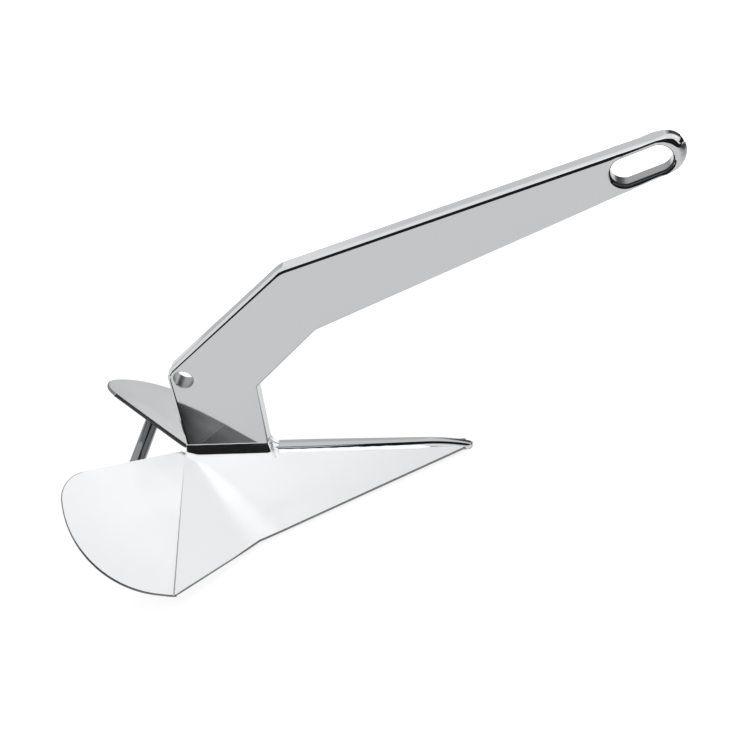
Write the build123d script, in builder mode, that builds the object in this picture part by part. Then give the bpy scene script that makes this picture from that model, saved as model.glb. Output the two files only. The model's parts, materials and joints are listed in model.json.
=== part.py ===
"""Fixed-shank plough anchor, welded from polished stainless plate, standing on its fluke."""
import os
from math import cos, radians, sin, tan

from build123d import *

os.makedirs("parts", exist_ok=True)

# ---------------------------------------------------------------- driving dimensions, mm and degrees
# The anchor stands on its nose and on the two share corners, with the ridge pitched nose-down.
# In the ridge frame, x runs forward along the ridge, y to the left and z square to the ridge.
RIDGE_PITCH = 15.457
RIDGE_ORIGIN = (-214.18, 0.0, 75.764)

SHANK_THICKNESS = 16.0
SHANK_EDGE_RADIUS = 2.0
SHANK_FRONT_X = 81.5
SHANK_ROOT_Z = -14.0
TOP_REAR_ANGLE = 40.4
TOP_REAR_LENGTH = 150.5
TOP_ARM_ANGLE = 17.8
LOWER_KNEE = (146.0, 135.0)
LOWER_ARM_ANGLE = 23.9
ROOT_KNEE = (83.2, 75.8)
HEAD_END_X = 454.5
TOP_KNEE_RADIUS = 28.0
LOWER_KNEE_RADIUS = 14.0
ROOT_KNEE_RADIUS = 7.0
HEAD_RADIUS = 14.6

TRIP_HOLE = (18.4, 87.7)
TRIP_HOLE_DIAMETER = 18.0
TRIP_EYE_RADIUS = 15.0

SLOT_CENTRE = (420.4, 273.9)
SLOT_LENGTH = 48.6
SLOT_WIDTH = 22.4
SLOT_ANGLE = 20.6
SLOT_RIM_RADIUS = 1.5

PLATE_THICKNESS = 4.0
APEX_HEIGHT = 3.75
SHARE_ANGLE = 41.0
SHARE_CORNER = (72.8, 67.9)
SHARE_END = (262.0, 6.8)
WING_CORNER = (3.7, -127.2, -63.0)
WING_REAR_POINT = (-87.5, -75.0, 22.7)
FOLD_OVERRUN = 6.0

# The wing outline on the wing's own plane: u outward along its fold, v rearward from the fold.
WING_INNER_U = 4.2
WING_INNER_SLOPE = 0.37
WING_OUTER_U = 143.7
WING_ARC_RADIUS = 94.3
WING_ARC_V = 15.0
WING_TIP_RADIUS = 26.0

SPINE_WIDTH = 10.6
SPINE_REAR_X = 82.0
SPINE_TOP_Z = 4.2
SPINE_BOTTOM_Z = -8.0
SPINE_DROP_X = 226.0
NOSE_X = 268.0
NOSE_TOP_Z = -1.5
NOSE_BOTTOM_Z = -4.5
SPINE_TAPER_X = 235.0
NOSE_SIDE_RADIUS = 2.5

BALLAST_REAR_X = 150.0
BALLAST_FRONT_X = 240.0
COVER_HEIGHT = 5.0
COVER_THICKNESS = 4.0

CROSS_BAR = (-49.7, -10.2)
CROSS_BAR_DIAMETER = 14.0

SHANK_BEAD_TOP_Z = 12.3
SHANK_BEAD_WAIST = (9.6, 1.0)
SHANK_BEAD_LEG = 6.0
WRAP_BEAD_LEG = 8.0
REAR_BEAD_LENGTH = 5.0
ROOT_BEAD_LEG = 4.0
SPINE_SEAM_LEG = 2.0
COLLAR_LEG = 3.5
COVER_SEAM_LEG = 3.0
BEAD_SINK = 2.0
LONG = 400.0

# ---------------------------------------------------------------- the ridge frame and its planes
ridge = Plane(Location(RIDGE_ORIGIN, (0, RIDGE_PITCH, 0)))
side_view = Plane(ridge.origin, x_dir=ridge.x_dir, z_dir=(0, -1, 0))


def at(x, y, z):
    """World position of a point given in the ridge frame."""
    return ridge.from_local_coords(Vector(x, y, z))


def section(x):
    """Plane square to the ridge, facing forward, with y to the left and z up the page."""
    return Plane(at(x, 0, 0), x_dir=(0, 1, 0), z_dir=ridge.x_dir)


def surface(origin, along, beside):
    """Plane through three points, x towards the second, normal on the upper side."""
    normal = (along - origin).cross(beside - origin)
    if normal.Z < 0:
        normal = -normal
    return Plane(origin, x_dir=along - origin, z_dir=normal)


def fold_plane(start, end, first, second):
    """Plane that halves the angle between two facets, its normal towards the rear."""
    facing = (end - start).cross(first.z_dir + second.z_dir)
    if facing.X > 0:
        facing = -facing
    return Plane(start, x_dir=end - start, z_dir=facing)


def on_facet(facet, *points):
    """Flat coordinates, on a facet's plane, of points that lie on it."""
    return [tuple(facet.to_local_coords(point))[:2] for point in points]


def ahead(point, angle, distance):
    """A side-view point, a distance along a slope."""
    return (point[0] + distance * cos(radians(angle)), point[1] + distance * sin(radians(angle)))


def share_z(y):
    """Height of the share's upper surface at a distance from the middle."""
    return APEX_HEIGHT - y * tan(radians(SHARE_ANGLE))


def down_share(y, z, distance):
    """A section point, a distance outward and down along the right share's slope."""
    return (y - distance * cos(radians(SHARE_ANGLE)), z - distance * sin(radians(SHARE_ANGLE)))


def save(builder, label):
    """Label a finished piece and write its STEP file."""
    builder.part.label = label
    export_step(builder.part, f"parts/{label}.step")


# ---------------------------------------------------------------- shank: one thick dog-leg plate
shank_rear_x = TRIP_HOLE[0] - TRIP_EYE_RADIUS
eye_rear = (shank_rear_x, TRIP_HOLE[1])
eye_corner = ahead(TRIP_HOLE, TOP_REAR_ANGLE / 2 + 135, TRIP_EYE_RADIUS)
eye_top = ahead(TRIP_HOLE, TOP_REAR_ANGLE + 90, TRIP_EYE_RADIUS)
top_knee = ahead(eye_top, TOP_REAR_ANGLE, TOP_REAR_LENGTH)
head_top = (HEAD_END_X, top_knee[1] + (HEAD_END_X - top_knee[0]) * tan(radians(TOP_ARM_ANGLE)))
head_low = (HEAD_END_X, LOWER_KNEE[1] + (HEAD_END_X - LOWER_KNEE[0]) * tan(radians(LOWER_ARM_ANGLE)))

with BuildPart() as shank:
    with BuildSketch(side_view):
        with BuildLine():
            Polyline(
                eye_rear,
                (shank_rear_x, SHANK_ROOT_Z),
                (SHANK_FRONT_X, SHANK_ROOT_Z),
                ROOT_KNEE,
                LOWER_KNEE,
                head_low,
                head_top,
                top_knee,
                eye_top,
            )
            ThreePointArc(eye_top, eye_corner, eye_rear)
        make_face()
        fillet(vertices().sort_by_distance(ROOT_KNEE)[0], ROOT_KNEE_RADIUS)
        fillet(vertices().sort_by_distance(LOWER_KNEE)[0], LOWER_KNEE_RADIUS)
        fillet(vertices().sort_by_distance(top_knee)[0], TOP_KNEE_RADIUS)
        fillet(vertices().sort_by_distance(head_low)[0], HEAD_RADIUS)
        fillet(vertices().sort_by_distance(head_top)[0], HEAD_RADIUS)
    extrude(amount=SHANK_THICKNESS / 2, both=True)
    fillet(faces().filter_by(Axis.Y).edges(), SHANK_EDGE_RADIUS)
    with BuildSketch(side_view):
        with Locations(SLOT_CENTRE):
            SlotOverall(SLOT_LENGTH, SLOT_WIDTH, rotation=SLOT_ANGLE)
    extrude(amount=SHANK_THICKNESS, both=True, mode=Mode.SUBTRACT)
    fillet(edges(Select.LAST).filter_by(Axis.Y, reverse=True), SLOT_RIM_RADIUS)
    with BuildSketch(side_view):
        with Locations(TRIP_HOLE):
            Circle(TRIP_HOLE_DIAMETER / 2)
    extrude(amount=SHANK_THICKNESS, both=True, mode=Mode.SUBTRACT)
save(shank, "shank")

# ---------------------------------------------------------------- fluke plates: share, flare and wing
apex = at(0, 0, APEX_HEIGHT)
share_corner = at(SHARE_CORNER[0], -SHARE_CORNER[1], share_z(SHARE_CORNER[1]))
share_end = at(SHARE_END[0], -SHARE_END[1], share_z(SHARE_END[1]))
share_front = at(SHARE_END[0], 0, APEX_HEIGHT)
wing_corner = at(*WING_CORNER)

share_face = surface(apex, share_front, share_corner)
flare_face = surface(apex, share_corner, wing_corner)
wing_face = surface(apex, wing_corner, at(*WING_REAR_POINT))
share_fold = fold_plane(apex, share_corner, share_face, flare_face)
wing_fold = fold_plane(apex, wing_corner, flare_face, wing_face)

share_overrun = (share_corner - share_end).normalized() * FOLD_OVERRUN
flare_overrun = (share_corner - wing_corner).normalized() * FOLD_OVERRUN

with BuildPart() as share_slab:
    with BuildSketch(share_face):
        with BuildLine():
            corners = (apex, share_front, share_end, share_corner + share_overrun, apex + share_overrun)
            Polyline(*on_facet(share_face, *corners), close=True)
        make_face()
    extrude(amount=-PLATE_THICKNESS)
    split(bisect_by=share_fold, keep=Keep.BOTTOM)

with BuildPart() as flare_slab:
    with BuildSketch(flare_face):
        with BuildLine():
            corners = (
                apex + flare_overrun,
                share_corner + flare_overrun,
                wing_corner - flare_overrun,
                apex - flare_overrun,
            )
            Polyline(*on_facet(flare_face, *corners), close=True)
        make_face()
    extrude(amount=-PLATE_THICKNESS)
    split(bisect_by=share_fold, keep=Keep.TOP)
    split(bisect_by=wing_fold, keep=Keep.BOTTOM)

with BuildPart() as wing_slab:
    with BuildSketch(wing_face):
        with Locations((WING_OUTER_U - WING_ARC_RADIUS, -WING_ARC_V)):
            Circle(WING_ARC_RADIUS)
        with Locations((WING_OUTER_U, FOLD_OVERRUN)):
            Rectangle(WING_ARC_RADIUS, WING_ARC_V + FOLD_OVERRUN, align=(Align.MAX, Align.MAX))
        with BuildLine():
            Polyline(
                (WING_INNER_U - FOLD_OVERRUN * WING_INNER_SLOPE, FOLD_OVERRUN),
                (LONG, FOLD_OVERRUN),
                (LONG, -LONG),
                (WING_INNER_U + LONG * WING_INNER_SLOPE, -LONG),
                close=True,
            )
        make_face(mode=Mode.INTERSECT)
        fillet(vertices().sort_by(Axis.Y)[0], WING_TIP_RADIUS)
    extrude(amount=-PLATE_THICKNESS)
    split(bisect_by=wing_fold, keep=Keep.TOP)

with BuildPart() as fluke_plate_right:
    add(share_slab.part)
    add(flare_slab.part)
    add(wing_slab.part)
    split(bisect_by=Plane.XZ.offset(SPINE_WIDTH / 2), keep=Keep.TOP)
    with BuildSketch(ridge):
        with Locations((shank_rear_x, 0)):
            Rectangle(SPINE_REAR_X - shank_rear_x, SHANK_THICKNESS, align=(Align.MIN, Align.CENTER))
    extrude(amount=LONG, both=True, mode=Mode.SUBTRACT)

with BuildPart() as fluke_plate_left:
    mirror(fluke_plate_right.part, about=Plane.XZ)

save(fluke_plate_right, "fluke_plate_right")
save(fluke_plate_left, "fluke_plate_left")

# ---------------------------------------------------------------- ridge spine, from the shank to the nose
spine_drop = (SPINE_DROP_X, SPINE_TOP_Z)
nose_top = (NOSE_X, NOSE_TOP_Z)

with BuildPart() as ridge_spine:
    with BuildSketch(side_view):
        with BuildLine():
            TangentArc(spine_drop, nose_top, tangent=(1, 0))
            Polyline(
                nose_top,
                (NOSE_X, NOSE_BOTTOM_Z),
                (SPINE_TAPER_X, SPINE_BOTTOM_Z),
                (SPINE_REAR_X, SPINE_BOTTOM_Z),
                (SPINE_REAR_X, SPINE_TOP_Z),
                spine_drop,
            )
        make_face()
    extrude(amount=SPINE_WIDTH / 2, both=True)
    nose_face = faces().sort_by_distance(at(NOSE_X, 0, (NOSE_TOP_Z + NOSE_BOTTOM_Z) / 2))[0]
    fillet(nose_face.edges().filter_by(Axis.Y, reverse=True), NOSE_SIDE_RADIUS)
save(ridge_spine, "ridge_spine")

# ---------------------------------------------------------------- nose ballast and the plate that closes it
left_corner = at(SHARE_CORNER[0], SHARE_CORNER[1], share_z(SHARE_CORNER[1]))
under_right = share_face.offset(-PLATE_THICKNESS)
under_left = surface(apex, share_front, left_corner).offset(-PLATE_THICKNESS)
cover_top = Plane.XY.offset(COVER_HEIGHT + COVER_THICKNESS)

with BuildPart() as nose_ballast:
    with BuildSketch(section(BALLAST_REAR_X)):
        Rectangle(LONG, LONG)
    extrude(amount=BALLAST_FRONT_X - BALLAST_REAR_X)
    split(bisect_by=under_right, keep=Keep.BOTTOM)
    split(bisect_by=under_left, keep=Keep.BOTTOM)
    split(bisect_by=cover_top, keep=Keep.TOP)
    add(ridge_spine.part, mode=Mode.SUBTRACT)
save(nose_ballast, "nose_ballast")

with BuildPart() as ballast_cover:
    with BuildSketch(section(BALLAST_REAR_X)):
        Rectangle(LONG, LONG)
    extrude(amount=BALLAST_FRONT_X - BALLAST_REAR_X)
    split(bisect_by=under_right, keep=Keep.BOTTOM)
    split(bisect_by=under_left, keep=Keep.BOTTOM)
    split(bisect_by=cover_top, keep=Keep.BOTTOM)
    split(bisect_by=Plane.XY.offset(COVER_HEIGHT), keep=Keep.TOP)
    add(ridge_spine.part, mode=Mode.SUBTRACT)
save(ballast_cover, "ballast_cover")

# ---------------------------------------------------------------- cross bar between the wings
wing_under_right = wing_face.offset(-PLATE_THICKNESS)
left_wing_face = surface(
    apex,
    at(WING_CORNER[0], -WING_CORNER[1], WING_CORNER[2]),
    at(WING_REAR_POINT[0], -WING_REAR_POINT[1], WING_REAR_POINT[2]),
)
wing_under_left = left_wing_face.offset(-PLATE_THICKNESS)

with BuildPart() as cross_bar:
    with BuildSketch(side_view):
        with Locations(CROSS_BAR):
            Circle(CROSS_BAR_DIAMETER / 2)
    extrude(amount=LONG, both=True)
    split(bisect_by=wing_under_right, keep=Keep.BOTTOM)
    split(bisect_by=wing_under_left, keep=Keep.BOTTOM)
save(cross_bar, "cross_bar")

# ---------------------------------------------------------------- weld beads on the right, mirrored to the left
half_shank = SHANK_THICKNESS / 2
half_spine = SPINE_WIDTH / 2
share_at_shank = share_z(half_shank)
share_at_spine = share_z(half_spine)
under_at_shank = share_at_shank - PLATE_THICKNESS / cos(radians(SHARE_ANGLE))

with BuildPart() as shank_bead_right:
    with BuildSketch(section(shank_rear_x + SHANK_EDGE_RADIUS)):
        with BuildLine():
            Polyline(
                (-half_shank, SHANK_BEAD_TOP_Z),
                (-half_shank, share_at_shank - BEAD_SINK),
                down_share(-half_shank, share_at_shank - BEAD_SINK, SHANK_BEAD_LEG),
                down_share(-half_shank, share_at_shank, SHANK_BEAD_LEG),
                (-SHANK_BEAD_WAIST[0], SHANK_BEAD_WAIST[1]),
                close=True,
            )
        make_face()
    extrude(amount=SHANK_FRONT_X - SHANK_EDGE_RADIUS - shank_rear_x - SHANK_EDGE_RADIUS)
    add(fluke_plate_right.part, mode=Mode.SUBTRACT)

with BuildPart() as root_bead_right:
    with BuildSketch(section(shank_rear_x + SHANK_THICKNESS)):
        with BuildLine():
            Polyline(
                (-half_shank, under_at_shank),
                (-half_shank, under_at_shank - ROOT_BEAD_LEG),
                down_share(-half_shank, under_at_shank, ROOT_BEAD_LEG),
                close=True,
            )
        make_face()
    extrude(amount=SHANK_FRONT_X - SHANK_EDGE_RADIUS - shank_rear_x - SHANK_THICKNESS)

with BuildPart() as spine_seam_right:
    with BuildSketch(section(SHANK_FRONT_X + WRAP_BEAD_LEG)):
        with BuildLine():
            Polyline(
                (-half_spine, share_at_spine + SPINE_SEAM_LEG),
                (-half_spine, share_at_spine),
                down_share(-half_spine, share_at_spine, SPINE_SEAM_LEG),
                close=True,
            )
        make_face()
    extrude(amount=SPINE_DROP_X - SHANK_FRONT_X - WRAP_BEAD_LEG)

with BuildPart() as cross_bar_bead_right:
    with BuildSketch(side_view):
        with Locations(CROSS_BAR):
            Circle(CROSS_BAR_DIAMETER / 2 + COLLAR_LEG)
            Circle(CROSS_BAR_DIAMETER / 2, mode=Mode.SUBTRACT)
    extrude(amount=LONG)
    split(bisect_by=wing_under_right, keep=Keep.BOTTOM)
    split(bisect_by=wing_under_right.offset(-COLLAR_LEG), keep=Keep.TOP)

with BuildPart() as cover_seam_right:
    with BuildSketch(section(BALLAST_REAR_X)):
        Rectangle(LONG, LONG)
    extrude(amount=BALLAST_FRONT_X - BALLAST_REAR_X)
    split(bisect_by=under_right, keep=Keep.BOTTOM)
    split(bisect_by=under_right.offset(-COVER_SEAM_LEG), keep=Keep.TOP)
    split(bisect_by=Plane.XY.offset(COVER_HEIGHT), keep=Keep.BOTTOM)
    split(bisect_by=Plane.XY.offset(COVER_HEIGHT - COVER_SEAM_LEG), keep=Keep.TOP)
    split(bisect_by=Plane.XZ, keep=Keep.TOP)
    add(ridge_spine.part, mode=Mode.SUBTRACT)

right_beads = {
    "shank_bead": shank_bead_right,
    "root_bead": root_bead_right,
    "spine_seam": spine_seam_right,
    "cross_bar_bead": cross_bar_bead_right,
    "cover_seam": cover_seam_right,
}
for bead_name, right_bead in right_beads.items():
    with BuildPart() as left_bead:
        mirror(right_bead.part, about=Plane.XZ)
    save(right_bead, f"{bead_name}_right")
    save(left_bead, f"{bead_name}_left")

# ---------------------------------------------------------------- weld beads that wrap the shank's ends
with BuildPart() as shank_bead_front:
    with BuildSketch(side_view):
        with BuildLine():
            Polyline(
                (SHANK_FRONT_X, SPINE_TOP_Z + WRAP_BEAD_LEG),
                (SHANK_FRONT_X, share_at_shank - BEAD_SINK),
                (SHANK_FRONT_X + WRAP_BEAD_LEG, share_at_shank - BEAD_SINK),
                (SHANK_FRONT_X + WRAP_BEAD_LEG, SPINE_TOP_Z),
                close=True,
            )
        make_face()
    extrude(amount=half_shank, both=True)
    add(shank.part, mode=Mode.SUBTRACT)
    add(ridge_spine.part, mode=Mode.SUBTRACT)
    add(fluke_plate_right.part, mode=Mode.SUBTRACT)
    add(fluke_plate_left.part, mode=Mode.SUBTRACT)
save(shank_bead_front, "shank_bead_front")

with BuildPart() as shank_bead_rear:
    with BuildSketch(side_view):
        with BuildLine():
            Polyline(
                (shank_rear_x, APEX_HEIGHT + REAR_BEAD_LENGTH),
                (shank_rear_x, SPINE_BOTTOM_Z),
                (shank_rear_x - REAR_BEAD_LENGTH, SPINE_BOTTOM_Z),
                (shank_rear_x - REAR_BEAD_LENGTH, APEX_HEIGHT - REAR_BEAD_LENGTH / 2),
                close=True,
            )
        make_face()
    extrude(amount=half_spine, both=True)
save(shank_bead_rear, "shank_bead_rear")
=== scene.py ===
"""Looks of a polished stainless plough anchor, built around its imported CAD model."""

import json
import math

import bpy
from mathutils import Matrix, Vector
from mathutils.geometry import tessellate_polygon


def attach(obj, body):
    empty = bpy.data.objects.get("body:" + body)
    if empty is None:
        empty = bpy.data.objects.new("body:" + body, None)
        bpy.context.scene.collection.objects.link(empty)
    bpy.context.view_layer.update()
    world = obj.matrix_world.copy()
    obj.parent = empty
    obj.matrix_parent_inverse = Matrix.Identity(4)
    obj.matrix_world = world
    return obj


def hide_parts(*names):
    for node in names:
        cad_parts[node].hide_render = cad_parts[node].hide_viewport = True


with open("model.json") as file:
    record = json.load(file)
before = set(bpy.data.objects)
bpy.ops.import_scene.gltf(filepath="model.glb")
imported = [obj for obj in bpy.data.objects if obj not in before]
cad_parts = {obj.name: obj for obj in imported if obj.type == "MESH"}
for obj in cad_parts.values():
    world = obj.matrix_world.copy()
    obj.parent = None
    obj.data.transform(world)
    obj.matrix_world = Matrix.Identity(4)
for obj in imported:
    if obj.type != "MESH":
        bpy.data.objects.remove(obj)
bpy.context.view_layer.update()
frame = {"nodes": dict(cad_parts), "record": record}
record = frame["record"]
nodes = frame["nodes"]

# ------------------------------------------------------------- the ridge frame, in millimetres
# x runs forward along the ridge, y to the left, z square to the ridge.
TRIP_HOLE = Vector((18.4, 0, 87.7))
SLOT_CENTRE = Vector((420.4, 0, 273.9))


def mount_position(name):
    """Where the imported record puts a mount, in metres."""
    return next(Vector(m["pos_m"]) for m in record["mounts"] if m["name"] == name)


def slope(vector):
    """Angle above the horizontal of a vector in the middle plane."""
    return math.atan2(vector.z, vector.x)


hole_at = mount_position("trip_line_hole")
pitch = slope(SLOT_CENTRE - TRIP_HOLE) - slope(mount_position("shackle_slot") - hole_at)
turn = Matrix.Rotation(pitch, 3, "Y")
ridge_start = hole_at - turn @ TRIP_HOLE / 1000


def world_point(point):
    """World position in metres of a point in the ridge frame."""
    return ridge_start + turn @ Vector(point) / 1000


# ------------------------------------------------------------- node helpers
def new_material(name):
    material = bpy.data.materials.new(name)
    material.use_nodes = True
    tree = material.node_tree
    tree.nodes.clear()
    output = tree.nodes.new("ShaderNodeOutputMaterial")
    shader = tree.nodes.new("ShaderNodeBsdfPrincipled")
    tree.links.new(shader.outputs["BSDF"], output.inputs["Surface"])
    return material, tree, shader


def noise(tree, coords, scale, detail, roughness, stretch=(1, 1, 1), angle=0.0):
    mapping = tree.nodes.new("ShaderNodeMapping")
    mapping.inputs["Scale"].default_value = stretch
    mapping.inputs["Rotation"].default_value = (0, angle, 0)
    tree.links.new(coords, mapping.inputs["Vector"])
    node = tree.nodes.new("ShaderNodeTexNoise")
    node.inputs["Scale"].default_value = scale
    node.inputs["Detail"].default_value = detail
    node.inputs["Roughness"].default_value = roughness
    tree.links.new(mapping.outputs["Vector"], node.inputs["Vector"])
    return node.outputs["Fac"]


def ramp(tree, value, low, high, start=0.3, end=0.7):
    """Maps a value between start and end on to the range from low to high."""
    node = tree.nodes.new("ShaderNodeMapRange")
    node.inputs["From Min"].default_value = start
    node.inputs["From Max"].default_value = end
    node.inputs["To Min"].default_value = low
    node.inputs["To Max"].default_value = high
    tree.links.new(value, node.inputs["Value"])
    return node.outputs["Result"]


def blend_colour(tree, value, first, second):
    node = tree.nodes.new("ShaderNodeMix")
    node.data_type = "RGBA"
    tree.links.new(value, node.inputs[0])
    node.inputs[6].default_value = (*first, 1)
    node.inputs[7].default_value = (*second, 1)
    return node.outputs[2]


def bump(tree, height, distance, after=None):
    node = tree.nodes.new("ShaderNodeBump")
    node.inputs["Strength"].default_value = 1.0
    node.inputs["Distance"].default_value = distance
    tree.links.new(height, node.inputs["Height"])
    if after is not None:
        tree.links.new(after, node.inputs["Normal"])
    return node.outputs["Normal"]


WAVE_DEPTH = 0.00002


def polished_steel(name, shade, rough, grain=0.0000005, grain_angle=0.0, tint=1.0):
    """Polished stainless steel: faint cloudiness, fine polishing lines and a slight waviness."""
    material, tree, shader = new_material(name)
    coords = tree.nodes.new("ShaderNodeTexCoord").outputs["Object"]
    cloud = noise(tree, coords, 9.0, 4.0, 0.6)
    lines = noise(tree, coords, 60.0, 5.0, 0.65, (0.05, 1.0, 2.2), grain_angle)
    smear = noise(tree, coords, 26.0, 3.0, 0.5, (0.4, 1.0, 1.0), grain_angle)
    dark = tuple(c * 0.965 for c in shade)
    tree.links.new(blend_colour(tree, cloud, dark, shade), shader.inputs["Base Color"])
    tree.links.new(ramp(tree, smear, rough * 0.75, rough * 1.35), shader.inputs["Roughness"])
    shader.inputs["Metallic"].default_value = 1.0
    shader.inputs["Specular Tint"].default_value = (tint, tint, tint, 1)
    large = noise(tree, coords, 11.0, 1.0, 0.4)
    first = bump(tree, large, WAVE_DEPTH)
    tree.links.new(bump(tree, lines, grain, first), shader.inputs["Normal"])
    return material


def weld_metal(name, shade, rough):
    """Buffed weld metal: soft ripples left from the passes and blotches of darker tint."""
    material, tree, shader = new_material(name)
    coords = tree.nodes.new("ShaderNodeTexCoord").outputs["Object"]
    blotch = noise(tree, coords, 160.0, 4.0, 0.6)
    dark = tuple(c * 0.8 for c in shade)
    tree.links.new(blend_colour(tree, blotch, dark, shade), shader.inputs["Base Color"])
    tree.links.new(ramp(tree, blotch, rough * 1.5, rough * 0.7), shader.inputs["Roughness"])
    shader.inputs["Metallic"].default_value = 1.0
    ripple = noise(tree, coords, 300.0, 3.0, 0.55)
    tree.links.new(bump(tree, ripple, 0.00006), shader.inputs["Normal"])
    return material


def cast_iron(name):
    """Raw casting: coarse sand texture with rust-brown and grey patches."""
    material, tree, shader = new_material(name)
    coords = tree.nodes.new("ShaderNodeTexCoord").outputs["Object"]
    patch = noise(tree, coords, 45.0, 5.0, 0.6)
    sand = noise(tree, coords, 900.0, 4.0, 0.6)
    rust, grey = (0.06, 0.055, 0.052), (0.13, 0.12, 0.115)
    tree.links.new(blend_colour(tree, patch, rust, grey), shader.inputs["Base Color"])
    tree.links.new(ramp(tree, patch, 0.55, 0.8), shader.inputs["Roughness"])
    shader.inputs["Metallic"].default_value = 0.6
    tree.links.new(bump(tree, sand, 0.0006), shader.inputs["Normal"])
    return material


shank_steel = polished_steel("shank_polish", (0.525, 0.53, 0.54), 0.035, grain_angle=math.radians(-20))
fluke_steel = polished_steel(
    "fluke_polish", (0.60, 0.605, 0.61), 0.16, grain_angle=math.radians(10), tint=0.22
)
spine_steel = polished_steel("spine_polish", (0.42, 0.425, 0.435), 0.06)
# Painted shade: the cross bar's polish is far darker than the other steel, standing for the shade between the
# wings.
bar_painted_shade = polished_steel("bar_polish_painted_shade", (0.19, 0.192, 0.198), 0.09)
cover_steel = polished_steel("cover_satin", (0.5, 0.5, 0.51), 0.25, grain=0.000004)
bore_steel = polished_steel("bore_satin", (0.29, 0.292, 0.3), 0.3, grain=0.00001)
# Sheet edges: rougher than the polished faces, and darkened as painted shade that stands in for the reflected
# contact shadow, which the glowing floor does not give.
ground_edge_painted_shade = polished_steel("edge_ground_painted_shade", (0.16, 0.162, 0.168), 0.3, grain=0.00001)
# Painted reflection: the near-black finish on the slot's lower rim stands in for a dark reflection; the metal
# there is polished like the rest of the shank.
dark_rim_painted_reflection = polished_steel("slot_rim_painted_reflection", (0.045, 0.046, 0.05), 0.2)
weld_steel = weld_metal("weld_buffed", (0.64, 0.645, 0.655), 0.1)
ballast_iron = cast_iron("ballast_casting")

# ------------------------------------------------------------- mesh helpers


def paint_faces(piece, material, chosen):
    """Puts a second finish on some of a piece's faces, which is also how the painted shade and painted dark
    reflections are laid on.
    """
    piece.data.materials.append(material)
    index = len(piece.data.materials) - 1
    for i in chosen:
        piece.data.polygons[i].material_index = index


def make_piece(name, points, faces, normals, material, slot, *replaced):
    """A smooth mesh from ridge-frame points and normals, standing for one or more CAD nodes."""
    mesh = bpy.data.meshes.new(name)
    mesh.from_pydata([world_point(p) for p in points], [], faces)
    mesh.validate(clean_customdata=False)
    mesh.polygons.foreach_set("use_smooth", [True] * len(mesh.polygons))
    if normals is not None:
        mesh.normals_split_custom_set_from_vertices([(turn @ Vector(n)).normalized() for n in normals])
    mesh.materials.append(material)
    piece = bpy.data.objects.new(name, mesh)
    bpy.context.scene.collection.objects.link(piece)
    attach(piece, "root")
    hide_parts(*replaced)
    return piece


def tube_faces(columns, count, first=0):
    """Quads that join closed sections of equal point count, one after the other."""
    faces = []
    for i in range(columns - 1):
        for j in range(count):
            k = (j + 1) % count
            a = first + i * count
            b = a + count
            faces.append((a + j, a + k, b + k, b + j))
    return faces


def rounded_outline(corners, step):
    """Points and outward normals of a closed clockwise outline: corners are (x, z, radius)."""
    result = []
    total = len(corners)
    for i, (x, z, radius) in enumerate(corners):
        here = Vector((x, z))
        back = (Vector(corners[i - 1][:2]) - here).normalized()
        ahead = (Vector(corners[(i + 1) % total][:2]) - here).normalized()
        half = back.angle(ahead) / 2
        middle = (back + ahead).normalized()
        centre = here + middle * (radius / math.sin(half))
        start = here + back * (radius / math.tan(half))
        stop = here + ahead * (radius / math.tan(half))
        convex = back.x * ahead.y - back.y * ahead.x
        first = math.atan2(*(start - centre).yx)
        sweep = (math.atan2(*(stop - centre).yx) - first + math.pi) % (2 * math.pi) - math.pi
        count = max(2, round(abs(sweep) * step))
        for k in range(count + 1):
            angle = first + sweep * k / count
            out = Vector((math.cos(angle), math.sin(angle)))
            result.append((centre + out * radius, out if convex > 0 else -out))
    return result


def dense_outline(outline, step):
    """Adds points on the long straight stretches of a closed outline."""
    result = []
    for (a, n), (b, m) in zip(outline, outline[1:] + outline[:1]):
        count = max(1, math.ceil((b - a).length / step))
        result.extend((a.lerp(b, k / count), n.lerp(m, k / count).normalized()) for k in range(count))
    return result


# ------------------------------------------------------------- shank: a dog-leg plate with rolled edges
HALF = 8.0
REAR_X = TRIP_HOLE.x - 15.0
TOP_KNEE = (123.30, 196.66)
HEAD_TOP = (454.5, 303.0)
HEAD_LOW = (454.5, 271.7)
SHANK_CORNERS = [
    (REAR_X, -14.0, 1.0),
    (REAR_X, 94.6, 15.0),
    (*TOP_KNEE, 28.0),
    (*HEAD_TOP, 14.6),
    (*HEAD_LOW, 14.6),
    (146.0, 135.0, 14.0),
    (83.2, 75.8, 7.0),
    (81.5, -14.0, 1.0),
]
SLOT_LENGTH, SLOT_WIDTH, SLOT_ANGLE = 48.6, 22.4, math.radians(20.6)
HOLE_RADIUS = 9.0
ARC_STEPS = 8
SLOT_RIM, HOLE_RIM = 3.1, 0.6
# The slot rim's near-black painted reflection starts at this arc step and covers the outline where its
# normal's slope is below this.
DARK_RIM_STEP, DARK_RIM_SLOPE = 3, 0.2
EDGE_RADIUS, LEAST_RADIUS, HEAD_RADIUS = 2.0, 0.5, 7.2
TOP_EXTRA, HEEL_EXTRA = 2.0, 1.5
HEAD_START_X, HEAD_RUN = 428.0, 24.0
RIM_GAP = 0.3


def plate_ring(points, level, inset):
    """A ring of points in the shank's plane, moved inward, at one level across the thickness."""
    return [(p.x - n.x * inset[i], level[i], p.y - n.y * inset[i]) for i, (p, n) in enumerate(points)]


def smooth_step(value):
    value = min(max(value, 0.0), 1.0)
    return value * value * (3 - 2 * value)


def edge_radius(point, normal, slot):
    """The edge rounding: more on top, at the heel and round the head, less where the slot is close."""
    base = EDGE_RADIUS + TOP_EXTRA * smooth_step(normal.y + 0.3)
    base += HEEL_EXTRA * smooth_step((-normal.x - 0.75) / 0.2)
    radius = base + (HEAD_RADIUS - base) * smooth_step((point.x - HEAD_START_X) / HEAD_RUN)
    gap = min((point - p).length for p, _ in slot)
    return min(radius, max(LEAST_RADIUS, gap - SLOT_RIM - RIM_GAP))


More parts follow.
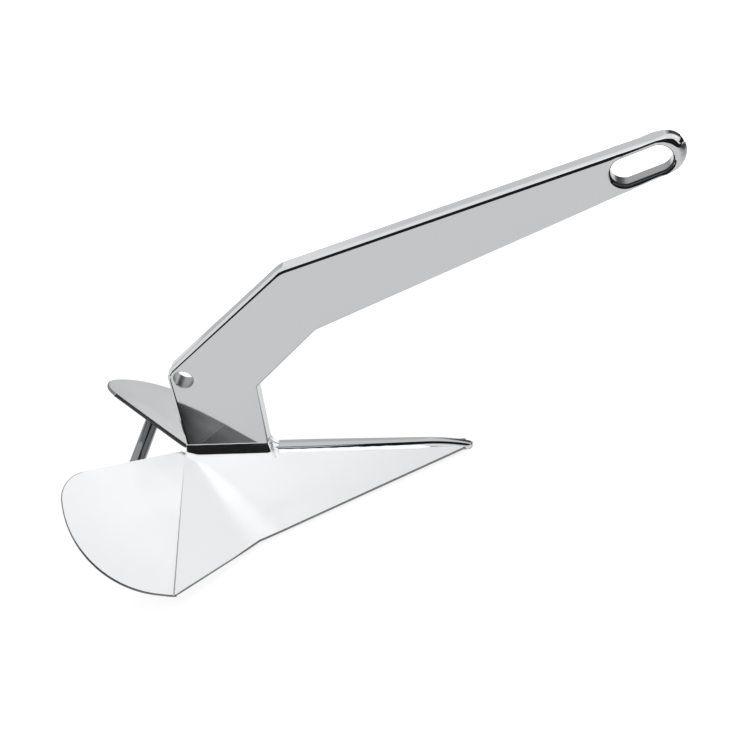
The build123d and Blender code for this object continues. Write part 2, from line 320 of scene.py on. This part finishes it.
def rolled_wall(points, radius, out):
    """Rings from the near face round the edge to the far face, with their normals."""
    rings, normals = [], []
    for side in (-1, 1):
        steps = range(ARC_STEPS + 1) if side < 0 else range(ARC_STEPS, -1, -1)
        for k in steps:
            a = math.pi / 2 * k / ARC_STEPS
            inset = [r * (1 - math.sin(a)) for r in radius]
            level = [side * (HALF - r * (1 - math.cos(a))) for r in radius]
            rings.append(plate_ring(points, level, inset if out > 0 else [-v for v in inset]))
            normals.append([
                (n.x * math.sin(a) * out, side * math.cos(a), n.y * math.sin(a) * out) for _, n in points
            ])
    return rings, normals


def circle(centre, radius, count):
    angles = [2 * math.pi * i / count for i in range(count)]
    outward = [Vector((math.cos(a), math.sin(a))) for a in angles]
    return [(centre + n * radius, n) for n in outward]


def stadium(centre, length, width, angle, count):
    along = Vector((math.cos(angle), math.sin(angle)))
    reach = (length - width) / 2
    result = []
    for end in (1, -1):
        for k in range(count + 1):
            a = angle + (0 if end > 0 else math.pi) - math.pi / 2 + math.pi * k / count
            n = Vector((math.cos(a), math.sin(a)))
            result.append((centre + along * reach * end + n * width / 2, n))
    return result


def build_shank():
    outer = dense_outline(rounded_outline(SHANK_CORNERS, 14), 6.0)
    slot = stadium(SLOT_CENTRE.xz, SLOT_LENGTH, SLOT_WIDTH, SLOT_ANGLE, 24)
    hole = circle(TRIP_HOLE.xz, HOLE_RADIUS, 64)
    points, normals, faces, loops, walls, painted_dark_faces = [], [], [], [], [], []
    for outline, radius, out in (
        (outer, [edge_radius(p, n, slot) for p, n in outer], 1),
        (slot, [SLOT_RIM] * len(slot), -1),
        (hole, [HOLE_RIM] * len(hole), -1),
    ):
        rings, ring_normals = rolled_wall(outline, radius, out)
        first = len(points)
        count = len(outline)
        for ring, ring_normal in zip(rings, ring_normals):
            points.extend(ring)
            normals.extend(ring_normal)
        if out < 0:
            walls.extend(range(len(faces) + ARC_STEPS * count, len(faces) + (ARC_STEPS + 1) * count))
        if outline is slot:
            # Near side of the slot's lower rim, from the third arc step to the wall: near-black painted
            # reflection.
            under = [i for i, (_, n) in enumerate(slot) if n.y < DARK_RIM_SLOPE]
            painted_dark_faces.extend(len(faces) + k * count + i for k in range(DARK_RIM_STEP, ARC_STEPS) for i in under)
        faces.extend(tube_faces(len(rings), count, first))
        loops.append((first, first + (len(rings) - 1) * count, count))
    for side in (0, 1):
        flat = [[Vector((*points[loop[side] + i][::2], 0)) for i in range(loop[2])] for loop in loops]
        index = [loop[side] + i for loop in loops for i in range(loop[2])]
        for triangle in tessellate_polygon(flat):
            a, b, c = (Vector(points[index[i]]) for i in triangle)
            facing = (b - a).cross(c - a).y > 0
            corners = triangle if facing == (side > 0) else triangle[::-1]
            faces.append(tuple(index[i] for i in corners))
    piece = make_piece("shank_plate", points, faces, normals, shank_steel, "shank_steel", "shank")
    paint_faces(piece, bore_steel, walls)
    # The slot's lower rim gets the near-black painted reflection.
    paint_faces(piece, dark_rim_painted_reflection, painted_dark_faces)


# ------------------------------------------------------------- fluke plates: one sheet bent along two lines
THICKNESS = 4.0
APEX = Vector((0, 0, 3.75))
SHARE_ANGLE = math.radians(41.0)
SPINE_HALF = 5.3
SPINE_REAR = 82.0
SHARE_BEND = math.radians(14.0)
WING_BEND = math.radians(2.6)
SHEET_EDGE = 1.5
OUTLINE_STEP = 1.2
STEEP_EDGE = 400
CREASE_WIDTH = math.radians(0.32)
CREASE_DEPTH = 0.0042


def share_height(y):
    return APEX.z - abs(y) * math.tan(SHARE_ANGLE)


SHARE_CORNER = Vector((72.8, -67.9, share_height(67.9)))
SHARE_END = Vector((262.0, -6.8, share_height(6.8)))
SHARE_TIP = Vector((262.0, -SPINE_HALF, share_height(SPINE_HALF)))
WING_CORNER = Vector((3.7, -127.2, -63.0))
WING_REAR = Vector((-87.5, -75.0, 22.7))

share_x = Vector((1, 0, 0))
share_y = Vector((0, -math.cos(SHARE_ANGLE), -math.sin(SHARE_ANGLE)))
fold_one = (SHARE_CORNER - APEX).normalized()
fold_two = (WING_CORNER - APEX).normalized()
flare_y = (fold_two - fold_one * fold_two.dot(fold_one)).normalized()
wing_y = ((WING_REAR - APEX) - fold_two * (WING_REAR - APEX).dot(fold_two)).normalized()
turn_one = share_x.angle(fold_one)
turn_two = turn_one + fold_one.angle(fold_two)
wing_fold_up = fold_two.cross(flare_y + wing_y).normalized()
if wing_fold_up.z < 0:
    wing_fold_up = -wing_fold_up


def sharp_ray(angle):
    """Direction from the apex along the sheet, before the bends are softened."""
    if angle < turn_one:
        return share_x * math.cos(angle) + share_y * math.sin(angle)
    if angle < turn_two:
        rest = angle - turn_one
        return fold_one * math.cos(rest) + flare_y * math.sin(rest)
    rest = angle - turn_two
    return fold_two * math.cos(rest) + wing_y * math.sin(rest)


def bent_ray(angle):
    """The same direction with the two bends spread over a few degrees."""
    window = 0.0
    if abs(angle - turn_one) < SHARE_BEND:
        window = SHARE_BEND - abs(angle - turn_one)
    elif abs(angle - turn_two) < WING_BEND:
        window = WING_BEND - abs(angle - turn_two)
    if window <= 0:
        return sharp_ray(angle)
    centre, half = (turn_one, SHARE_BEND) if abs(angle - turn_one) < SHARE_BEND else (turn_two, WING_BEND)
    before, after = sharp_ray(centre - half), sharp_ray(centre + half)
    middle = sharp_ray(centre)
    t = (angle - centre + half) / (2 * half)
    return (before * (1 - t) ** 2 + middle * 2 * t * (1 - t) + after * t * t).normalized()


def soft_ray(angle):
    """The bent direction, pressed in a little where the wing is folded."""
    ray = bent_ray(angle)
    depth = CREASE_DEPTH * math.exp(-(((angle - turn_two) / CREASE_WIDTH) ** 2))
    if depth < 1e-6:
        return ray
    return (ray - wing_fold_up * depth).normalized()


def sheet_normal(angle):
    step = 1e-4
    normal = soft_ray(angle).cross(soft_ray(angle + step) - soft_ray(angle - step)).normalized()
    return normal if normal.z > 0 else -normal


def flat_polar(start_angle, u, v):
    """Place on the flattened sheet of a point u along and v beside the line at a start angle."""
    angle = start_angle + math.atan2(v, u)
    return Vector((math.cos(angle), math.sin(angle))) * math.hypot(u, v)


def flat_place(point, start_angle, along, beside):
    """Place of a sheet point on the flattened sheet."""
    rest = point - APEX
    return flat_polar(start_angle, rest.dot(along), rest.dot(beside))


WING_INNER_U, WING_INNER_SLOPE = 4.2, 0.37
ARC_CENTRE = (143.7 - 94.3, 15.0)
ARC_RADIUS = 94.3
TIP_RADIUS = 26.0


def wing_outline():
    """The wing's edge on the flattened sheet, from its fold round to the end of the rounded tip."""
    slant = math.hypot(1, WING_INNER_SLOPE)
    inward = (1 / slant, -WING_INNER_SLOPE / slant)
    reach = TIP_RADIUS
    low, high = 0.0, ARC_RADIUS * 1.2
    for _ in range(60):
        v = (low + high) / 2
        u = WING_INNER_U + WING_INNER_SLOPE * v + reach * slant
        if math.hypot(u - ARC_CENTRE[0], v - ARC_CENTRE[1]) < ARC_RADIUS - reach or v < ARC_CENTRE[1]:
            low = v
        else:
            high = v
    centre = (WING_INNER_U + WING_INNER_SLOPE * low + reach * slant, low)
    points = [(ARC_CENTRE[0] + ARC_RADIUS, ARC_CENTRE[1] * k / 10) for k in range(1, 10)]
    stop = math.atan2(centre[1] - ARC_CENTRE[1], centre[0] - ARC_CENTRE[0])
    for k in range(61):
        a = stop * k / 60
        points.append((ARC_CENTRE[0] + ARC_RADIUS * math.cos(a), ARC_CENTRE[1] + ARC_RADIUS * math.sin(a)))
    end = math.pi - math.atan2(-inward[1], inward[0])
    for k in range(1, 25):
        a = stop + (end - stop) * k / 24
        points.append((centre[0] + reach * math.cos(a), centre[1] + reach * math.sin(a)))
    return [flat_polar(turn_two, u, v) for u, v in points]


def resample(points, step):
    """Adds points on long straight stretches."""
    result = [points[0]]
    for a, b in zip(points, points[1:]):
        count = max(1, math.ceil((b - a).length / step))
        result.extend(a.lerp(b, k / count) for k in range(1, count + 1))
    return result


def soften(points, passes):
    """Takes the points off an outline's corners."""
    for _ in range(passes):
        inner = [(a + b * 2 + c) / 4 for a, b, c in zip(points, points[1:], points[2:])]
        points = [points[0], *inner, points[-1]]
    return points


def around_crease(points):
    """Adds close outline points on both sides of the wing fold."""
    result = [points[0]]
    for a, b in zip(points, points[1:]):
        near = min(abs(angle_of(a) - turn_two), abs(angle_of(b) - turn_two)) < 4 * CREASE_WIDTH
        count = 8 if near else 1
        result.extend(a.lerp(b, k / count) for k in range(1, count + 1))
    return result


def angle_of(point):
    return math.atan2(point.y, point.x) % (2 * math.pi)


def inner_reach(angle):
    """Distance from the apex to the sheet's inner edge, beside the spine, the shank or the open wing."""
    ray = soft_ray(angle)
    side = max(abs(ray.y), 1e-6)
    ratio = ray.x / side
    if ratio > SPINE_REAR / SPINE_HALF:
        y = SPINE_HALF
    elif ratio > SPINE_REAR / HALF:
        y = SPINE_REAR / ratio
    elif ratio > REAR_X / HALF:
        y = HALF
    else:
        y = SPINE_HALF
    reach = y / side
    if angle > turn_two:
        rest = angle - turn_two
        across = math.cos(rest) - WING_INNER_SLOPE * math.sin(rest)
        reach = max(reach, WING_INNER_U / max(across, 1e-3))
    return reach


def sheet_section(angle, outer_reach, outer_flat, inner_flat):
    """A closed section of the sheet along one ray: bottom and top, with both edges rounded."""
    ray, up = soft_ray(angle), sheet_normal(angle)
    beside = up.cross(ray)
    if beside.dot(soft_ray(angle + 1e-3) - ray) < 0:
        beside = -beside
    inner = inner_reach(angle)
    room = min(SHEET_EDGE, (outer_reach - inner) * 0.45)
    loop, normals = [], []
    for reach, flat in ((outer_reach, outer_flat), (inner, inner_flat)):
        out = (ray * flat[0] + beside * flat[1]).normalized()
        base = APEX + ray * reach
        rows = [(k, 0) for k in range(ARC_STEPS + 1)] + [(k, 1) for k in range(ARC_STEPS, -1, -1)]
        if reach == inner:
            rows.reverse()
        for k, low in rows:
            a = math.pi / 2 * k / ARC_STEPS
            depth = room * (1 - math.cos(a))
            depth = THICKNESS - depth if low else depth
            loop.append(base - out * room * (1 - math.sin(a)) - up * depth)
            normals.append(out * math.sin(a) + up * (-math.cos(a) if low else math.cos(a)))
    return loop, normals


def build_sheet(side, name, replaced):
    outline = [flat_place(p, 0.0, share_x, share_y) for p in (SHARE_TIP, SHARE_END, SHARE_CORNER)]
    outline.append(flat_place(WING_CORNER, turn_one, fold_one, flare_y))
    outline = around_crease(soften(resample(outline + wing_outline(), OUTLINE_STEP), 3))
    columns = []
    last = -1.0
    for i in range(1, len(outline) - 1):
        angle = angle_of(outline[i])
        if angle <= last + 1e-5 or outline[i].length - inner_reach(angle) < 0.3:
            continue
        last = angle
        tangent = outline[i + 1] - outline[i - 1]
        across = Vector((tangent.y, -tangent.x)).normalized()
        ray = outline[i].normalized()
        beside = Vector((-ray.y, ray.x))
        outer_flat = (across.dot(ray), across.dot(beside))
        if outer_flat[0] < 0:
            outer_flat = (-outer_flat[0], -outer_flat[1])
        step = 1e-4
        change = (inner_reach(angle + step) - inner_reach(angle - step)) / (2 * step)
        if angle > turn_two or abs(change) > STEEP_EDGE:
            change = 0.0
        inner_flat = Vector((-inner_reach(angle), change)).normalized()
        columns.append(sheet_section(angle, outline[i].length, outer_flat, inner_flat))
    count = len(columns[0][0])
    points = [p for loop, _ in columns for p in loop]
    normals = [n for _, loop in columns for n in loop]
    faces = tube_faces(len(columns), count)
    faces.append(tuple(range(count))[::-1])
    faces.append(tuple(range((len(columns) - 1) * count, len(columns) * count)))
    if side > 0:
        points = [Vector((p.x, -p.y, p.z)) for p in points]
        normals = [Vector((n.x, -n.y, n.z)) for n in normals]
    test = faces[count // 2]
    a, b, c = (points[i] for i in test[:3])
    if (b - a).cross(c - a).dot(normals[test[0]]) < 0:
        faces = [face[::-1] for face in faces]
    piece = make_piece(name, points, faces, normals, fluke_steel, "fluke_steel", replaced)
    # The faces round the sheet's outer and inner edges get the darkened finish: painted shade.
    half = count // 2
    rim_rows = range(3, half - 4)
    painted_dark_faces = [*rim_rows, *(j + half for j in rim_rows)]
    paint_faces(piece, ground_edge_painted_shade, [i * count + j for i in range(len(columns) - 1) for j in painted_dark_faces])


# ------------------------------------------------------------- the spine, its flanks steeper towards the root
SPINE_TOP, SPINE_LOW = 4.2, -8.0
SPINE_SHOULDER = 1.0
DROP_X = 226.0
NOSE = (268.0, -1.5)
NOSE_LOW, NOSE_RISE_X, NOSE_ROUND = -4.5, 235.0, 3.0
TAPER_X, TAPER_RUN, CROWN_TAPER = 120.0, 140.0, 2.0
FLANK_HEIGHT = 4.3


def spine_top(x):
    if x < DROP_X:
        return SPINE_TOP
    run, drop = NOSE[0] - DROP_X, SPINE_TOP - NOSE[1]
    radius = (run * run + drop * drop) / (2 * drop)
    return SPINE_TOP - radius + math.sqrt(radius * radius - (x - DROP_X) ** 2)


def spine_section(x):
    """Half a section, from the middle of the top down one flank."""
    top = spine_top(x)
    rise = max(0.0, x - NOSE_RISE_X) / (NOSE[0] - NOSE_RISE_X)
    low = SPINE_LOW + (NOSE_LOW - SPINE_LOW) * rise
    nose = max(0.0, x - (NOSE[0] - NOSE_ROUND)) / NOSE_ROUND
    narrow = NOSE_ROUND * (1 - math.sqrt(max(0.0, 1 - nose * nose)))
    taper = min(max((x - TAPER_X) / TAPER_RUN, 0.0), 1.0)
    base = SPINE_HALF - narrow
    crown = base - CROWN_TAPER * taper
    foot = max(top - FLANK_HEIGHT, low + 0.3)
    tilt = math.atan2(base - crown, top - foot)
    radius = SPINE_SHOULDER
    rows = [((0, top), (0, 1))]
    centre = (crown - radius * math.tan(math.pi / 4 + tilt / 2), top - radius)
    for k in range(5):
        a = (math.pi / 2 - tilt) * k / 4
        n = (math.sin(a), math.cos(a))
        rows.append(((centre[0] + radius * n[0], centre[1] + radius * n[1]), n))
    flank = (math.cos(tilt), math.sin(tilt))
    rows.append(((base, foot), flank))
    rows.append(((base, foot), (1, 0)))
    rows.append(((base, low), (1, 0)))
    return rows


def build_spine():
    stations = [SPINE_REAR + (DROP_X - SPINE_REAR) * k / 24 for k in range(24)]
    rounded = NOSE[0] - NOSE_ROUND
    stations += [DROP_X + (rounded - DROP_X) * k / 20 for k in range(20)]
    stations += [rounded + NOSE_ROUND * math.sin(math.pi / 2 * k / 10) for k in range(11)]
    points, normals = [], []
    for x in stations:
        rows = spine_section(x)
        left = [((-p[0], p[1]), (-n[0], n[1])) for p, n in rows[:0:-1]]
        for p, n in left + rows:
            points.append((x, p[0], p[1]))
            normals.append((0, n[0], n[1]))
    count = len(left + rows)
    faces = [f[::-1] for f in tube_faces(len(stations), count)]
    faces.append(tuple(range(count)))
    faces.append(tuple(range((len(stations) - 1) * count, len(stations) * count))[::-1])
    make_piece("spine_bar", points, faces, None, spine_steel, "spine_steel", "ridge_spine")


# ------------------------------------------------------------- weld beads: concave fillets of buffed metal
BEAD_TOP = 12.3
REAR_BEAD_TOP = 8.8
SHANK_FRONT, FOOT_RADIUS = 81.5, 2.0
SIDE_LEG, FRONT_LEG, REAR_LEG = 4.5, 8.0, 5.0
WAIST_OUT, WAIST_UP, WAIST_SHIFT = 0.21, 0.335, 0.1
WRAP_START, WRAP_RUN, WRAP_TURN, WRAP_SIDE = 0.72, 0.2, 0.78, 0.38
BURIED = 1.2
HEEL_TAPER, HEEL_TAPER_X, HEEL_TAPER_RUN = 0.45, 15.0, 10.0
SPINE_FOOT, SPINE_FOOT_RUN = 7.2, 2.6
SEAM_STEPS, SEAM_LEG, SEAM_RISE, SEAM_BURIED = 70, 1.5, 2.0, 0.8


def facet_height(normal, x, y):
    """Height of a facet through the apex."""
    return APEX.z - (normal.x * x + normal.y * y) / normal.z


share_normal = share_x.cross(share_y)
flare_normal = fold_one.cross(flare_y)
wing_normal = fold_two.cross(wing_y)


def fluke_height(x, y):
    """Height of the fluke, spine included, under a point."""
    height = max(facet_height(n, x, -abs(y)) for n in (share_normal, flare_normal, wing_normal))
    if x > SPINE_REAR - 1:
        height = height + (SPINE_TOP - height) * smooth_step((SPINE_FOOT - abs(y)) / SPINE_FOOT_RUN)
    return height


def bezier(first, middle, last, t):
    return tuple(a * (1 - t) ** 2 + b * 2 * t * (1 - t) + c * t * t for a, b, c in zip(first, middle, last))


def shank_path():
    """Places and outward directions once round the foot of the shank, at the start of each fillet."""
    front, rear = SHANK_FRONT - FOOT_RADIUS, REAR_X + FOOT_RADIUS
    reach = HALF - FOOT_RADIUS
    path = []
    for x, y, start, run in (
        (rear, -reach, math.pi, front - rear),
        (front, -reach, 1.5 * math.pi, 2 * reach),
        (front, reach, 0.0, front - rear),
        (rear, reach, 0.5 * math.pi, 2 * reach),
    ):
        for k in range(9):
            a = start + math.pi / 2 * k / 8
            out = Vector((math.cos(a), math.sin(a)))
            path.append((Vector((x, y)) + out * FOOT_RADIUS, out))
        place, out = path[-1]
        ahead = Vector((-out.y, out.x))
        count = max(2, round(run / 2.0))
        path.extend((place + ahead * run * k / count, out) for k in range(1, count))
    return path


# Places along a fillet's curve, and how far in degrees its shading leans back there, beside the shank and
# at its two ends. The lower part, from the blended step on, is finished like the fluke.
FILLET_STEPS = (0.0, 0.02, 0.04, 0.15, 0.25, 0.35, 0.45, 0.48, 0.51, 0.65, 0.8, 1.0)
SIDE_LEAN = (70, 60, 17, 18, 19, 21, 24, 27, 46, 49, 49, 49)
END_LEAN = (60, 52, 46, 47, 48, 49, 50, 51, 52, 54, 56, 60)
BLENDED_STEP = 8


def build_root_weld():
    """One continuous bead round the foot of the shank, with slight ripples."""
    points, normals, blended = [], [], []
    count = len(FILLET_STEPS) + 3
    for i, (place, out) in enumerate(shank_path()):
        ahead, behind = max(out.x, 0.0) ** 4, max(-out.x, 0.0) ** 4
        ripple = 0.10 * math.sin(i * 0.83) + 0.07 * math.sin(i * 0.37 + 1.3)
        leg = SIDE_LEG + (FRONT_LEG - SIDE_LEG) * ahead + (REAR_LEG - SIDE_LEG) * behind + ripple
        leg *= 1 - HEEL_TAPER * smooth_step((HEEL_TAPER_X - place.x) / HEEL_TAPER_RUN)
        top = BEAD_TOP + (REAR_BEAD_TOP - BEAD_TOP) * behind + ripple
        toe = place + out * leg
        low = fluke_height(*toe)
        shift = WAIST_SHIFT * ahead
        waist = (leg * (WAIST_OUT + shift), low + (top - low) * (WAIST_UP - shift))
        section = [bezier((0.0, top), waist, (leg, low), t) for t in FILLET_STEPS]
        section += [(leg, low - BURIED), (-BURIED, low - BURIED), (-BURIED, top)]
        points.extend((*(place + out * offset), z) for offset, z in section)
        side = -1 if place.y < 0 else 1
        wrapped = smooth_step((abs(out.x) - WRAP_START) / WRAP_RUN)
        turned = math.copysign(WRAP_TURN * wrapped, out.x)
        facing = Vector((turned, side * (1 - WRAP_SIDE * wrapped))).normalized()
        for side_lean, end_lean in zip(SIDE_LEAN, END_LEAN):
            lean = math.radians(side_lean + (end_lean - side_lean) * wrapped)
            normals.append((*(facing * math.cos(lean)), math.sin(lean)))
        normals += [(*out, 0.0), (0.0, 0.0, -1.0), (0.0, 0.0, 1.0)]
        if ahead + behind < 0.5:
            blended.extend(i * count + j for j in range(BLENDED_STEP, len(FILLET_STEPS) - 1))
    total = len(points)
    faces = [tuple(i % total for i in face) for face in tube_faces(total // count + 1, count)]
    beads = ["shank_bead_right", "shank_bead_left", "shank_bead_front", "shank_bead_rear"]
    piece = make_piece("root_weld", points, faces, normals, weld_steel, "weld_steel", *beads)
    paint_faces(piece, fluke_steel, blended)


def build_seam(side, name, replaced):
    """The thin seam along the foot of the spine."""
    points, normals = [], []
    first, last = SPINE_REAR + FRONT_LEG - 1.0, DROP_X + 4.0
    fall = math.tan(SHARE_ANGLE)
    foot = share_height(SPINE_HALF)
    for i in range(SEAM_STEPS + 1):
        x = first + (last - first) * i / SEAM_STEPS
        swell = 1.0 + 0.08 * math.sin(i * 0.9) + 0.05 * math.sin(i * 0.41)
        fade = min(1.0, 0.25 + (last - x) / 12.0)
        out, up = SEAM_LEG * swell * fade, SEAM_RISE * swell * fade
        section = [
            bezier((0.0, foot + up), (out * 0.25, foot + up * 0.1), (out, foot - out * fall), k / 6)
            for k in range(7)
        ]
        low = foot - SEAM_BURIED
        section += [(out, low - out * fall), (-SEAM_BURIED, low), (-SEAM_BURIED, foot + up)]
        points.extend((x, side * (SPINE_HALF + offset), z) for offset, z in section)
        for k in range(len(section)):
            lean = math.radians(54 if k < 5 else 49)
            normals.append((0, side * math.cos(lean), math.sin(lean)))
    count = len(section)
    last_section = SEAM_STEPS * count
    faces = tube_faces(SEAM_STEPS + 1, count)
    faces += [tuple(range(count))[::-1], tuple(range(last_section, last_section + count))]
    if side > 0:
        faces = [face[::-1] for face in faces]
    make_piece(name, points, faces, normals, weld_steel, "weld_steel", replaced)


build_shank()
build_root_weld()
build_seam(-1, "spine_weld_right", "spine_seam_right")
build_seam(1, "spine_weld_left", "spine_seam_left")
build_sheet(-1, "fluke_sheet_right", "fluke_plate_right")
build_sheet(1, "fluke_sheet_left", "fluke_plate_left")
build_spine()

# ------------------------------------------------------------- CAD pieces that keep their shape
for node, material in {
    # The cross bar's dark polish is painted shade.
    "cross_bar": bar_painted_shade,
    "ballast_cover": cover_steel,
    "nose_ballast": ballast_iron,
}.items():
    nodes[node].data.materials.clear()
    nodes[node].data.materials.append(material)
for node in nodes:
    if node.startswith(("root_bead", "cross_bar_bead", "cover_seam")):
        nodes[node].data.materials.clear()
        nodes[node].data.materials.append(weld_steel)

# ------------------------------------------------------------- studio: floor, world, cards and camera


def emission(name, strength):
    """White light of even strength."""
    material = bpy.data.materials.new(name)
    material.use_nodes = True
    tree = material.node_tree
    tree.nodes.clear()
    output = tree.nodes.new("ShaderNodeOutputMaterial")
    shader = tree.nodes.new("ShaderNodeEmission")
    shader.inputs["Color"].default_value = (1, 1, 1, 1)
    shader.inputs["Strength"].default_value = strength
    tree.links.new(shader.outputs["Emission"], output.inputs["Surface"])
    return material


def graded_emission(name, axis, start, end):
    """Light that changes along a panel: start and end are (coordinate in metres, strength)."""
    material = emission(name, start[1])
    tree = material.node_tree
    coords = tree.nodes.new("ShaderNodeTexCoord").outputs["Object"]
    split = tree.nodes.new("ShaderNodeSeparateXYZ")
    tree.links.new(coords, split.inputs["Vector"])
    shader = next(node for node in tree.nodes if node.type == "EMISSION")
    strength = ramp(tree, split.outputs[axis], start[1], end[1], start[0], end[0])
    tree.links.new(strength, shader.inputs["Strength"])
    return material


def flat_piece(name, corners, material):
    mesh = bpy.data.meshes.new(name)
    mesh.from_pydata(corners, [], [(0, 1, 2, 3)])
    mesh.materials.append(material)
    piece = bpy.data.objects.new(name, mesh)
    bpy.context.scene.collection.objects.link(piece)
    return piece


def flat_panel(name, corners, material):
    """A flat panel given by its four corners."""
    piece = flat_piece(name, corners, material)


def card(name, centre, facing, width, height, material):
    """A flat panel whose face looks towards a point."""
    w, h = width / 2, height / 2
    panel = flat_piece(name, [(-w, -h, 0), (w, -h, 0), (w, h, 0), (-w, h, 0)], material)
    panel.location = centre
    panel.rotation_mode = "QUATERNION"
    panel.rotation_quaternion = (Vector(facing) - Vector(centre)).to_track_quat("Z", "Y")


def wall_corners(x_range, y, z_range):
    """Corners of an upright panel that faces along y."""
    (left, right), (low, high) = x_range, z_range
    return [(left, y, low), (right, y, low), (right, y, high), (left, y, high)]


def sheet_corners(x_range, y_range, z):
    """Corners of a level panel."""
    (left, right), (near, far) = x_range, y_range
    return [(left, near, z), (right, near, z), (right, far, z), (left, far, z)]


def studio_world():
    world = bpy.data.worlds.new("studio_world")
    world.use_nodes = True
    background = world.node_tree.nodes["Background"]
    background.inputs["Color"].default_value = (1, 1, 1, 1)
    background.inputs["Strength"].default_value = 1.28
    bpy.context.scene.world = world


def floor_material():
    material, _, shader = new_material("studio_floor")
    shader.inputs["Base Color"].default_value = (0.25, 0.25, 0.25, 1)
    shader.inputs["Roughness"].default_value = 0.9
    shader.inputs["Specular IOR Level"].default_value = 0.0
    shader.inputs["Emission Color"].default_value = (1, 1, 1, 1)
    shader.inputs["Emission Strength"].default_value = 0.8
    return material


def studio():
    """The floor, and round it lights, cards and dark cloths for the anchor to reflect."""
    studio_world()
    card("studio_floor_plane", (0, 0, 0), (0, 0, 1), 60, 60, floor_material())
    black = emission("card_black", 0.02)
    # cloths on the floor
    card("cloth_front", (0, -1.9, 0.002), (0, -1.9, 1), 7.0, 2.7, black)
    flat_panel("cloth_right", sheet_corners((0.37, 1.7), (-0.6, 0.48), 0.002),
               graded_emission("card_right", "X", (0.4, 0.95), (0.75, 0.1)))
    flat_panel("cloth_back", sheet_corners((1.2, 7.0), (0.5, 3.9), 0.004), black)
    card("floor_back", (0, 1.9, 0.002), (0, 1.9, 1), 4.0, 3.1, emission("card_back", 1.85))
    # flags and cards that stand round the anchor
    card("flag_front", (0, -3.0, 1.65), (0, 0, 1.65), 7.0, 3.3, black)
    card("flag_right", (3.0, 0.2, 0.4), (0, 0.2, 0.4), 3.2, 0.8, black)
    flat_panel("flag_back", wall_corners((0.3, 7.0), 4.0, (0.0, 3.3)),
               graded_emission("card_behind", "X", (0.4, 1.2), (1.5, 0.1)))
    card("card_rear_left", (-3.2, 4.1, 1.1), (0, 0, 0.1), 4.6, 2.2, emission("card_pale", 0.74))
    flat_panel("card_rear_top", wall_corners((-2.6, 0.3), 4.3, (2.3, 3.8)),
               graded_emission("card_high", "X", (-1.95, 1.26), (-1.5, 1.0)))
    # soft boxes
    flat_panel("softbox_right", [(3.4, -2.2, 1.7), (3.4, 1.6, 1.7), (3.4, 1.6, 4.4), (3.4, -2.2, 4.4)],
               graded_emission("card_key", "Y", (-0.52, 1.4), (-0.3, 1.61)))
    card("softbox_top", (0.6, -0.4, 3.7), (0.6, -0.4, 0), 4.4, 4.4, emission("card_top", 1.4))
    flat_panel("softbox_front", sheet_corners((-0.8, 0.9), (-3.6, -2.02), 3.6),
               graded_emission("card_share", "X", (-0.4, 1.58), (0.6, 1.2)))
    strip = [(-0.8, -2.02, 3.5), (0.3, -2.02, 3.5), (1.1, -1.1, 3.5), (-0.3, -1.1, 3.5)]
    flat_panel("softbox_strip", strip, emission("card_strip", 1.8))


CAMERA_PLACE = (381.989, -918.087, 780.782)
CAMERA_YAW, CAMERA_TILT, CAMERA_ROLL = (math.radians(a) for a in (11.854, 53.200, -9.310))


def camera():
    """A short telephoto lens, placed and turned in the ridge frame."""
    data = bpy.data.cameras.new("studio_camera")
    data.sensor_width = 36.0
    data.lens = 64.15
    body = bpy.data.objects.new("studio_camera", data)
    axes = Matrix.Rotation(CAMERA_YAW, 3, "Z") @ Matrix.Rotation(CAMERA_TILT, 3, "X")
    axes = axes @ Matrix.Rotation(CAMERA_ROLL, 3, "Z")
    body.matrix_world = Matrix.Translation(world_point(CAMERA_PLACE)) @ (turn @ axes).to_4x4()
    bpy.context.scene.collection.objects.link(body)
    bpy.context.scene.camera = body


studio()
camera()
bpy.context.scene.view_settings.view_transform = "Standard"
